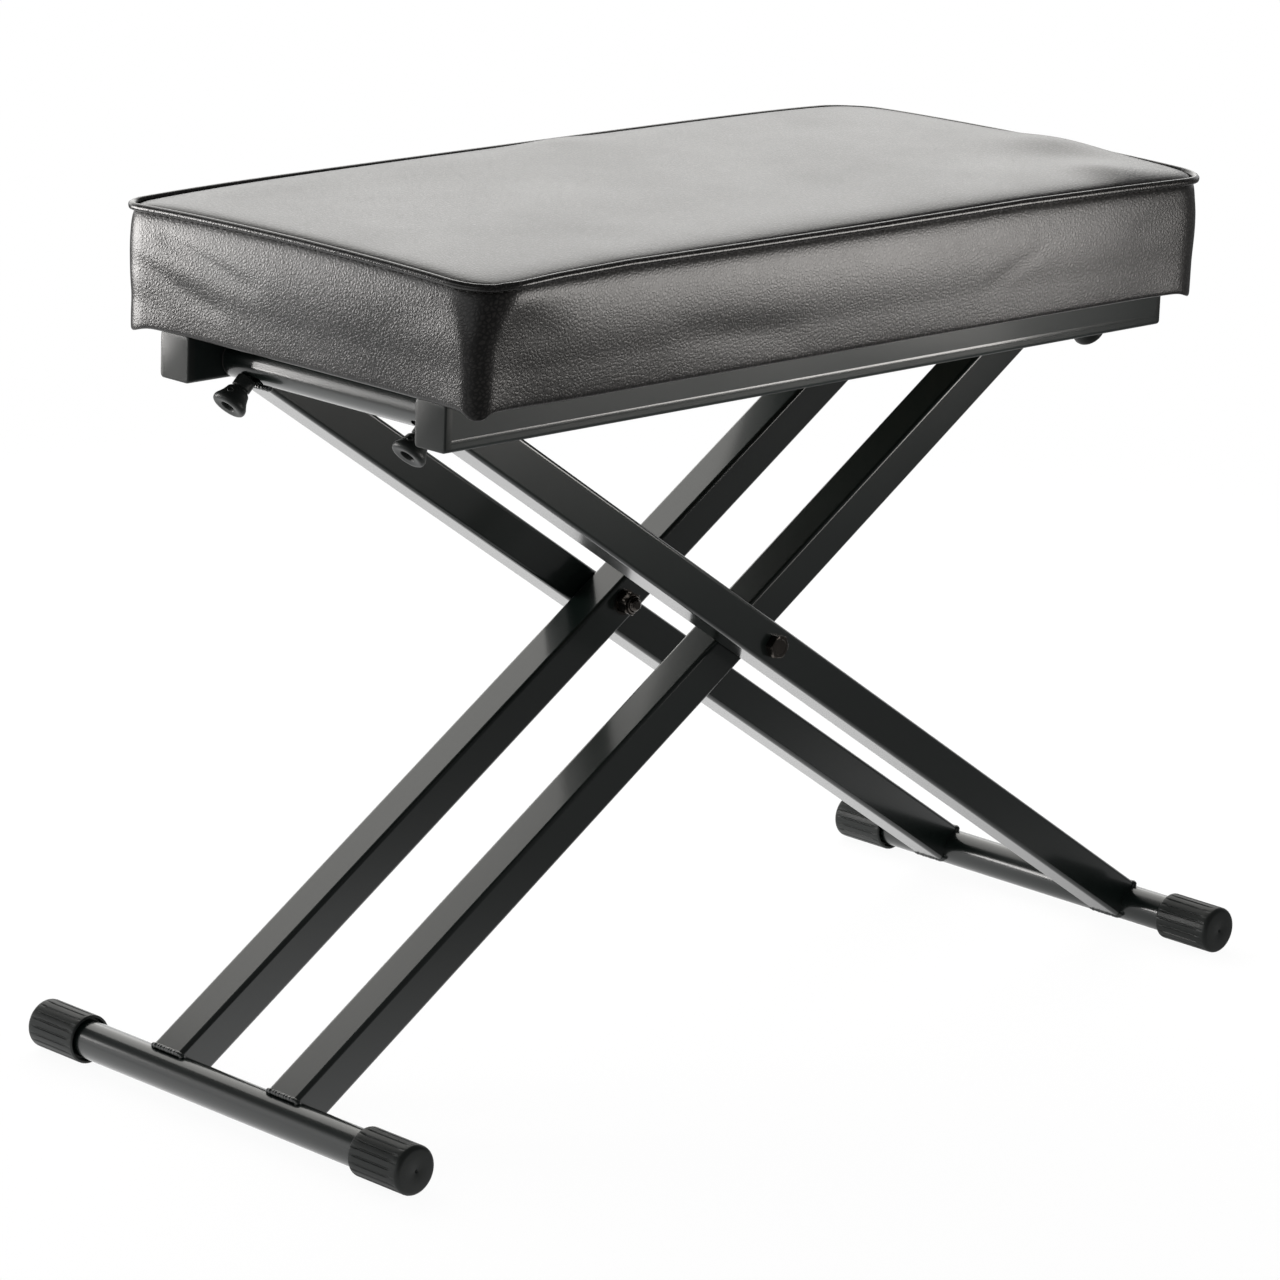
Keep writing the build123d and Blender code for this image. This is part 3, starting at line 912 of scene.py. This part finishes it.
def cap_rows(radius, length, tube_radius):
    """A cap's profile from inside its bore, over the rim and along to the dimpled end."""
    bore = tube_radius + CAP_RECESS_GAP
    rows = [(0, CAP_RECESS_DEPTH), (tube_radius * 0.5, CAP_RECESS_DEPTH), (bore, CAP_RECESS_DEPTH),
            (bore, CAP_BORE_EDGE)]
    rim = (radius - bore) / 2
    rows += arc_rows(bore + rim, rim, rim, 180, 360, 8)
    straight = length - rim - CAP_EDGE_ROUND
    rows += [(radius, rim + straight * step / CAP_ROWS) for step in range(1, CAP_ROWS)]
    rows += arc_rows(radius - CAP_EDGE_ROUND, length - CAP_EDGE_ROUND, CAP_EDGE_ROUND, 0, 90, 6)
    rows += [(radius * 0.6, length), (CAP_DIMPLE_RADIUS * 1.3, length),
             (CAP_DIMPLE_RADIUS, length - CAP_DIMPLE_EDGE)]
    return rows + [(CAP_DIMPLE_RADIUS * 0.6, length - CAP_DIMPLE_DEPTH), (0, length - CAP_DIMPLE_DEPTH)]


def build_feet():
    recipe = cap_recipe()
    for frame_name in SIDES:
        tube_radius = half_height(f"{frame_name}_foot_tube")
        for end_name, end in ENDS.items():
            node = f"{frame_name}_{end_name}_foot_cap"
            low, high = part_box(node)
            radius = half_height(node)
            length = high.y - low.y
            start = turned("cap_start", cap_rows(radius, length, tube_radius), CAP_AROUND)
            sizes = {"Low": GROOVE_RIM_MARGIN, "High": length - GROOVE_END_MARGIN, "Radius": radius}
            cap = recipe.mesh_from(start, sizes)
            inner = Vector((middle(node).x, low.y if end > 0 else high.y, middle(node).z))
            placed(cap, along((0, end, 0), inner))
            cap.set_sharp_from_angle(angle=math.radians(CAP_SHARP_ANGLE))
            piece(f"{frame_name}_{end_name}_ribbed_cap", cap, f"{frame_name}_legs", "black_plastic", node)


# Lock knobs

def knob_rows(start):
    """A knob's profile: a sleeve, a groove and a bell that flares to a round lip with a socket in it."""
    sizes_mm = [(0, 0), (5.4, 0), (5.8, 0.4), (5.8, 6.6), (5.4, 7.0), (4.7, 7.3), (4.7, 8.2), (6.2, 8.5),
                (6.9, 9.3), (7.4, 11.0), (8.2, 13.2), (9.3, 15.3), (10.1, 16.6), (10.5, 17.8), (10.5, 18.9),
                (10.1, 19.9), (9.3, 20.5), (8.2, 20.7), (7.0, 20.5), (5.4, 20.2), (4.6, 20.1), (4.3, 19.7),
                (4.1, 17.4), (3.4, 17.0), (0, 17.0)]
    return [(radius * MM, start + height * MM) for radius, height in sizes_mm]


def eye_ring():
    """The raised rim of the small eye in a knob's side."""
    inner = EYE_RADIUS - EYE_RING
    rows = [(0, -EYE_FLOOR), (inner, -EYE_FLOOR), (inner, 0)]
    rows += arc_rows(EYE_RADIUS, 0, EYE_RING, 180, 0, 6)
    rows += [(EYE_RADIUS + EYE_RING, -EYE_ROOT), (0, -EYE_ROOT)]
    return turned("eye", rows, EYE_AROUND)


def build_knobs():
    tilt = math.radians(KNOB_TILT)
    for frame_name, side in SIDES.items():
        tube_radius = half_height(f"{frame_name}_top_tube")
        centre = middle(f"{frame_name}_top_tube")
        outward = Vector((-side * math.sin(tilt), 0, -math.cos(tilt)))
        upward = Vector((-side * math.cos(tilt), 0, math.sin(tilt)))
        facing = (upward - Vector((0, EYE_LEAN, 0)) - outward * EYE_LEAN).normalized()
        for end_name in ENDS:
            lock = f"{frame_name}_{end_name}_lock"
            centre.y = middle(f"{frame_name}_{end_name}_knob_stud").y
            bell = turned("bell", knob_rows(tube_radius + KNOB_GAP), KNOB_AROUND)
            eye_place = centre + outward * (tube_radius + EYE_ALONG) + facing * EYE_OUT
            shells = [placed(bell, along(outward, centre)), placed(eye_ring(), along(facing, eye_place))]
            knob = joined(f"{lock}_bell_knob", shells)
            piece(f"{lock}_bell_knob", knob, lock, "black_plastic", f"{lock}_knob")


# Lock springs

def coil_path(start, stop, radius):
    """Places along a coil about a line that runs along Y."""
    points = []
    for step in range(SPRING_STEPS + 1):
        share = step / SPRING_STEPS
        turn = 2 * math.pi * SPRING_TURNS * share
        outward = Vector((math.cos(turn), 0, math.sin(turn)))
        points.append(start.lerp(stop, share) + outward * radius)
    return points


def build_springs():
    """Coil springs between their fixed stops and the pins."""
    recipe = round_recipe("spring_wire", SPRING_WIRE, SPRING_SIDES, "zinc_steel")
    for frame_name in SIDES:
        for end_name, end in ENDS.items():
            lock = f"{frame_name}_{end_name}_lock"
            low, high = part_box(f"{lock}_spring")
            centre = (low + high) / 2
            half_length = Vector((0, end * (high.y - low.y) / 2, 0))
            at_stop, at_pin = centre - half_length, centre + half_length
            seat = Vector((0, end * (SPRING_WIRE / 2 + SPRING_END_GAP), 0))
            radius = (high.z - low.z - SPRING_WIRE) / 2
            path = coil_path(at_stop + seat, at_pin - seat, radius)
            wire = recipe.mesh_from(path_mesh("coil_path", path, closed=False))
            coil = bpy.data.objects.new(f"{lock}_coil", wire)
            scene.collection.objects.link(coil)
            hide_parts(f"{lock}_spring")
            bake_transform(coil)


# Pivot bolts and nuts

def hexagon(across):
    """A hexagonal section, cut to each row's own radius where that is less than the corners."""
    def reach(angles, radius):
        sector = (angles + math.pi / 6) % (math.pi / 3) - math.pi / 6
        return np.minimum(across / 2 / np.cos(sector), radius)
    return reach


def head_rows(base, top):
    """A bolt head with a chamfered rim and a dished face."""
    corner = HEX_ACROSS / math.sqrt(3)
    face = HEX_ACROSS / 2 * 0.93
    return [(0, base), (corner, base), (corner, base + 0.01 * MM), (corner, top - HEX_CHAMFER),
            (HEX_ACROSS / 2 * 1.06, top - HEX_CHAMFER * 0.45), (face, top), (face * 0.80, top),
            (face * 0.72, top - BOLT_DISH), (face * 0.3, top - BOLT_DISH), (0, top - BOLT_DISH)]


def shank_rows(start, stop):
    """A threaded shank with a rounded tip."""
    radius = BOLT_THREAD / 2
    rows = [(0, start), (radius * 0.62, start), (radius * 0.8, start + 0.5 * MM)]
    height = start + 0.9 * MM
    while height < start + THREAD_LENGTH:
        rows += [(radius * 0.93, height), (radius, height + 0.5 * MM)]
        height += THREAD_PITCH
    return rows + [(radius, stop), (0, stop)]


def nut_rows(height, collar):
    """A lock nut: a chamfered hexagon with a round collar and an open bore."""
    corner = HEX_ACROSS / math.sqrt(3)
    round_top = NUT_COLLAR / 2
    bore = BOLT_THREAD / 2 + 0.15 * MM
    top = height + collar
    return [(0, 0), (HEX_ACROSS / 2, 0), (corner, HEX_CHAMFER * 0.6), (corner, height - HEX_CHAMFER),
            (HEX_ACROSS / 2, height), (round_top, height + 0.02 * MM), (round_top, top - 0.6 * MM),
            (round_top - 0.6 * MM, top), (bore + 0.4 * MM, top), (bore, top - 0.4 * MM),
            (bore, top - 2.5 * MM), (0, top - 2.5 * MM)]


def build_pivot():
    axis = middle("pivot_bolts")
    head_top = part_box("pivot_bolts")[1].y
    head_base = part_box("outer_rear_leg")[1].y
    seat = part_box("inner_rear_leg")[0].y - WASHER_HEIGHT
    bolts, nuts = [], []
    for end_name, end in ENDS.items():
        outward = along((0, end, 0), (axis.x, 0, axis.z))
        inward = along((0, -end, 0), (axis.x, end * seat, axis.z))
        twist = Matrix.Rotation(math.radians(HEX_TURN[end_name]), 4, "Z")
        rows = head_rows(head_base, head_top)
        head = turned("head", rows, BOLT_AROUND, BOLT_SHARP_ANGLE, hexagon(HEX_ACROSS))
        shank = turned("shank", shank_rows(seat - SHANK_PAST_SEAT, head_base), SHANK_AROUND)
        bolts += [placed(head, outward @ twist), placed(shank, outward)]
        rows = nut_rows(NUT_HEIGHT, NUT_COLLAR_HEIGHT)
        nut = turned("nut", rows, BOLT_AROUND, BOLT_SHARP_ANGLE, hexagon(HEX_ACROSS))
        nuts.append(placed(nut, inward @ twist))
    sets = {"pivot_hex_bolts": (bolts, "pivot_bolts"), "pivot_lock_nuts": (nuts, "pivot_nuts")}
    for name, (shells, node) in sets.items():
        piece(name, joined(name, shells, BOLT_SHARP_ANGLE), "outer_legs", "black_bolt", node)


# Rails

def rounded_square(half_y, half_z, corner, steps):
    """Points round a rounded rectangle."""
    points = []
    for sign_y, sign_z, start in ((1, 1, 0), (-1, 1, 90), (-1, -1, 180), (1, -1, 270)):
        for step in range(steps + 1):
            turn = math.radians(start + 90 * step / steps)
            points.append((sign_y * (half_y - corner) + corner * math.cos(turn),
                           sign_z * (half_z - corner) + corner * math.sin(turn)))
    return points


def plug_rings(node, side):
    """Rings of a plug: a block with softened edges over the rail's end."""
    low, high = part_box(node)
    centre = (low + high) / 2
    inner_x = high.x - PLUG_FLANGE if side > 0 else low.x + PLUG_FLANGE
    steps = [(0.0, 0.0), (PLUG_FLANGE - PLUG_EDGE_ROUND, 0.0)]
    for angle in EDGE_ANGLES:
        turn = math.radians(angle)
        reach = PLUG_FLANGE - PLUG_EDGE_ROUND * (1 - math.sin(turn))
        steps.append((reach, PLUG_EDGE_ROUND * (1 - math.cos(turn))))
    rings = []
    for reach, inset in steps:
        section = rounded_square((high.y - low.y) / 2 - inset, (high.z - low.z) / 2 - inset, PLUG_CORNER, 6)
        rings.append([(inner_x + side * reach, centre.y + y, centre.z + z) for y, z in section])
    return rings


def build_plugs():
    for end_name in ENDS:
        for side_name, side in (("left", -1), ("right", 1)):
            node = f"{end_name}_rail_{side_name}_plug"
            rings = plug_rings(node, side)
            points = [point for ring in rings for point in ring]
            mesh = new_mesh(node, points, capped_faces(len(rings), len(rings[0])), 30)
            piece(f"{end_name}_{side_name}_end_plug", mesh, "seat", "black_plastic", node)


def build_creases():
    """A fine pressed line along the lower part of each rail's outer face."""
    for end_name, end in ENDS.items():
        low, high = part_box(f"{end_name}_rail")
        face = high.y if end > 0 else low.y
        height = low.z + CREASE_RISE
        points = []
        for x in (low.x, high.x):
            for step in range(CREASE_STEPS + 1):
                share = step / CREASE_STEPS
                rise = CREASE_HEIGHT * math.sin(math.pi * share) ** 2
                points.append((x, face + end * (rise - CREASE_SINK), height + CREASE_WIDTH * (0.5 - share)))
        mesh = new_mesh(f"{end_name}_rail_crease", points, capped_faces(2, CREASE_STEPS + 1), 60)
        piece(f"{end_name}_rail_crease", mesh, "seat", "frame_paint")


# Welds

def weld_recipe():
    """A bead of overlapping drops along a joint."""
    recipe = Recipe("weld_bead", {"Pitch": WELD_PITCH, "Radius": WELD_RADIUS, "Spread": WELD_SPREAD})
    path = recipe.spaced_path()
    drop = recipe.node("GeometryNodeMeshIcoSphere", {"Radius": 1.0, "Subdivisions": 2})
    vary = recipe.node(
        "FunctionNodeRandomValue",
        {2: 1 - recipe.size("Spread"), 3: 1 + recipe.size("Spread"), "Seed": WELD_SEED}, 1,
        data_type="FLOAT",
    )
    size = recipe.size("Radius") * vary
    bead = recipe.node(
        "GeometryNodeInstanceOnPoints", {0: path, "Instance": recipe.smooth(drop), "Scale": size}
    )
    return recipe.close(bead, "frame_paint")


def weld_path(tube_centre, tube_radius, leg_y, toward):
    """The line where a square leg meets a round tube; toward points from the tube along the leg."""
    across = Vector((-toward.z, 0, toward.x))
    reach = tube_radius + WELD_RAISE
    points = []
    half = LEG_SIZE / 2
    for u, w in rounded_square(half, half, LEG_CORNER, 4):
        inner_w = max(-reach, min(reach, w))
        rise = max(math.sqrt(max(reach ** 2 - inner_w ** 2, 0)), LEG_SETBACK)
        points.append(tube_centre + Vector((0, leg_y + u, 0)) + across * inner_w + toward * rise)
    return points


def build_welds():
    recipe = weld_recipe()
    pivot = middle("pivot_bolts")
    for frame_name in SIDES:
        beads = []
        for tube_name in ("top_tube", "foot_tube"):
            tube = f"{frame_name}_{tube_name}"
            centre = Vector((middle(tube).x, 0, middle(tube).z))
            toward = Vector((pivot.x - centre.x, 0, pivot.z - centre.z)).normalized()
            for end_name in ENDS:
                leg_y = middle(f"{frame_name}_{end_name}_leg").y
                path = weld_path(centre, half_height(tube), leg_y, toward)
                beads.append(recipe.mesh_from(path_mesh("weld_path", path)))
        welds = joined(f"{frame_name}_weld_beads", beads, 180)
        piece(f"{frame_name}_weld_beads", welds, f"{frame_name}_legs", "frame_paint")


# CAD nodes

# A node takes the first finish that has a word in its name
FINISH_WORDS = {
    "plywood": ["seat_board"],
    "foam": ["seat_foam"],
    "leatherette": ["seat_side_band", "seat_top_panel"],
    "piping": ["seat_piping"],
    "black_bolt": ["pivot_bolts", "pivot_nuts", "pivot_washers"],
    "nylon": ["pivot_spacers", "tube_bushes"],
    "black_plastic": ["plug", "foot_cap", "lock_knob"],
    "zinc_steel": ["cover_staples", "rail_bolts", "t_nuts", "lock_pin", "knob_stud", "lock_spring",
                   "spring_stops"],
    "frame_paint": ["tube", "leg"],
    "rail_paint_painted_sheen": ["rail"],
}


def dress_nodes():
    """Gives each CAD node a finish, also those that a piece stands for."""
    for node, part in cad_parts.items():
        fitting = [finish for finish, words in FINISH_WORDS.items() if any(word in node for word in words)]
        part.data.materials.clear()
        part.data.materials.append(FINISHES[fitting[0]])


# Studio

DARK_SIDE = Vector((0.2, -0.98, 0.0))
FLOOR_REACH = 30.0
FLOOR_NEAR = 0.7
FLOOR_FAR = 1.6
FLOOR_LIT = 0.8
FLOOR_NEAR_TONE = 0.94
FLOOR_SHADE = 0.17
FLOOR_DIM = 0.15
FLOOR_DIM_SIDE = (-0.2, 0.45)
FLOOR_DIM_REACH = (0.9, 1.7)
SKY_FILL = 0.25
SKY_DIM = 0.10
SKY_DIM_SIDE = (-0.2, 0.5)
SKY_DIM_HEIGHT = (0.25, 0.55)

# Softboxes: place, aim, width, height, watts, colour and spread in degrees
SOFTBOXES = {
    "rear_softbox": ((0.75, 1.45, 1.30), (0.05, 0, 0.45), 2.6, 1.4, 17.0, (1.0, 0.985, 0.95), 180),
    "left_softbox": (
        (-0.723, 0.967, 0.452), (-0.041, 0.285, 0.71), 0.54, 0.46, 3.4, (1.0, 0.975, 0.955), 80
    ),
    "right_softbox": (
        (0.353, -0.623, 0.436), (-0.329, 0.059, 0.694), 0.50, 0.26, 0.58, (1.0, 0.965, 0.93), 70
    ),
}

# Camera, fitted to the photograph
CAMERA_AZIMUTH = -45.111
CAMERA_ELEVATION = 14.984
CAMERA_ROLL = 2.118
CAMERA_LENS = 158.807
CAMERA_DISTANCE = 3.4080
CAMERA_TARGET = Vector((-0.01130, 0.01166, 0.22661))
CAMERA_RANGE = 100.0
SENSOR_WIDTH = 36.0


def grey(tone):
    return (tone, tone, tone, 1)


def seen_directly(nodes):
    """1 for rays from the camera, a mirror or glass, and 0 for light on the object."""
    camera, glossy, through = [nodes.ray(f"Is {kind} Ray") for kind in ("Camera", "Glossy", "Transmission")]
    return camera.math("MAXIMUM", camera.math("MAXIMUM", camera, glossy), through)


def build_floor():
    """A white floor with a soft shadow near the bench, which the camera sees through to what is below it."""
    finish = Finish("white_floor")
    lit = finish.node("ShaderNodeBsdfDiffuse", {"Color": grey(FLOOR_LIT)})
    white, soft, dim = [finish.node("ShaderNodeEmission", {"Color": grey(1), "Strength": strength})
                        for strength in (1.0, FLOOR_NEAR_TONE, FLOOR_DIM)]
    clear, veil = [finish.node("ShaderNodeBsdfTransparent", {"Color": grey(tone)})
                   for tone in (1, FLOOR_NEAR_TONE)]
    shade = finish.node("ShaderNodeBsdfDiffuse", {"Color": grey(FLOOR_SHADE)})
    camera_ray = finish.ray("Is Camera Ray")
    far = finish.mix(camera_ray, white, clear)
    near = finish.node("ShaderNodeAddShader", {0: finish.mix(camera_ray, soft, veil), 1: shade})
    away = finish.vector("LENGTH", finish.place, output=1)
    shown = finish.mix(away.step(FLOOR_NEAR, FLOOR_FAR), near, far)
    dark = finish.vector("DOT_PRODUCT", finish.place, DARK_SIDE, output=1)
    unlit = dark.math("MAXIMUM", dark.step(*FLOOR_DIM_SIDE), away.step(*FLOOR_DIM_REACH))
    shown = finish.mix(finish.ray("Is Glossy Ray") * unlit, shown, dim)
    mixed = finish.mix(seen_directly(finish), lit, shown)
    finish.node("ShaderNodeOutputMaterial", {"Surface": mixed})
    mesh = bpy.data.meshes.new("floor")
    corners = [(-FLOOR_REACH, -FLOOR_REACH, 0), (FLOOR_REACH, -FLOOR_REACH, 0),
               (FLOOR_REACH, FLOOR_REACH, 0), (-FLOOR_REACH, FLOOR_REACH, 0)]
    mesh.from_pydata(corners, [], [(0, 1, 2, 3)])
    mesh.materials.append(finish.material)
    floor = bpy.data.objects.new("floor", mesh)
    scene.collection.objects.link(floor)


def build_world():
    """A white surround that glossy surfaces see dim on the camera's side and above."""
    world = bpy.data.worlds.new("studio")
    scene.world = world
    world.use_nodes = True
    sky = Nodes()
    sky.tree = world.node_tree
    sky.tree.nodes.clear()
    fill, white, dim = [sky.node("ShaderNodeBackground", {"Color": grey(1), "Strength": strength})
                        for strength in (SKY_FILL, 1.0, SKY_DIM)]
    way = sky.node("ShaderNodeTexCoord", output="Generated")
    dark = sky.vector("DOT_PRODUCT", way, DARK_SIDE, output=1)
    high = sky.node("ShaderNodeSeparateXYZ", {0: way}, "Z")
    unlit = dark.math("MAXIMUM", dark.step(*SKY_DIM_SIDE), high.step(*SKY_DIM_HEIGHT))
    shown = sky.mix(sky.ray("Is Glossy Ray") * unlit, white, dim)
    mixed = sky.mix(seen_directly(sky), fill, shown)
    sky.node("ShaderNodeOutputWorld", {"Surface": mixed})


def softbox(name, place, aim, width, height, power, tint, spread):
    lamp = bpy.data.lights.new(name, "AREA")
    lamp.shape = "RECTANGLE"
    lamp.size = width
    lamp.size_y = height
    lamp.energy = power
    lamp.color = tint
    lamp.spread = math.radians(spread)
    holder = bpy.data.objects.new(name, lamp)
    holder.visible_camera = False
    scene.collection.objects.link(holder)
    holder.location = place
    holder.rotation_mode = "QUATERNION"
    holder.rotation_quaternion = (Vector(aim) - Vector(place)).to_track_quat("-Z", "Y")


def build_lights():
    for name, settings in SOFTBOXES.items():
        softbox(name, *settings)


def build_camera():
    azimuth = math.radians(CAMERA_AZIMUTH)
    elevation = math.radians(CAMERA_ELEVATION)
    roll = math.radians(CAMERA_ROLL)
    back = Vector((math.sin(azimuth) * math.cos(elevation), -math.cos(azimuth) * math.cos(elevation),
                   math.sin(elevation)))
    level = Vector((math.cos(azimuth), math.sin(azimuth), 0))
    upright = back.cross(level)
    right = level * math.cos(roll) + upright * math.sin(roll)
    up = upright * math.cos(roll) - level * math.sin(roll)
    lens = bpy.data.cameras.new("camera")
    lens.sensor_width = SENSOR_WIDTH
    lens.lens = CAMERA_LENS
    lens.clip_end = CAMERA_RANGE
    camera = bpy.data.objects.new("camera", lens)
    scene.collection.objects.link(camera)
    turn = Matrix((right, up, back)).transposed().to_4x4()
    camera.matrix_world = Matrix.Translation(CAMERA_TARGET + back * CAMERA_DISTANCE) @ turn
    scene.camera = camera


dress_nodes()
build_seat()
build_feet()
build_knobs()
build_springs()
build_pivot()
build_plugs()
build_creases()
build_welds()
build_floor()
build_world()
build_lights()
build_camera()
scene.view_settings.view_transform = "Standard"
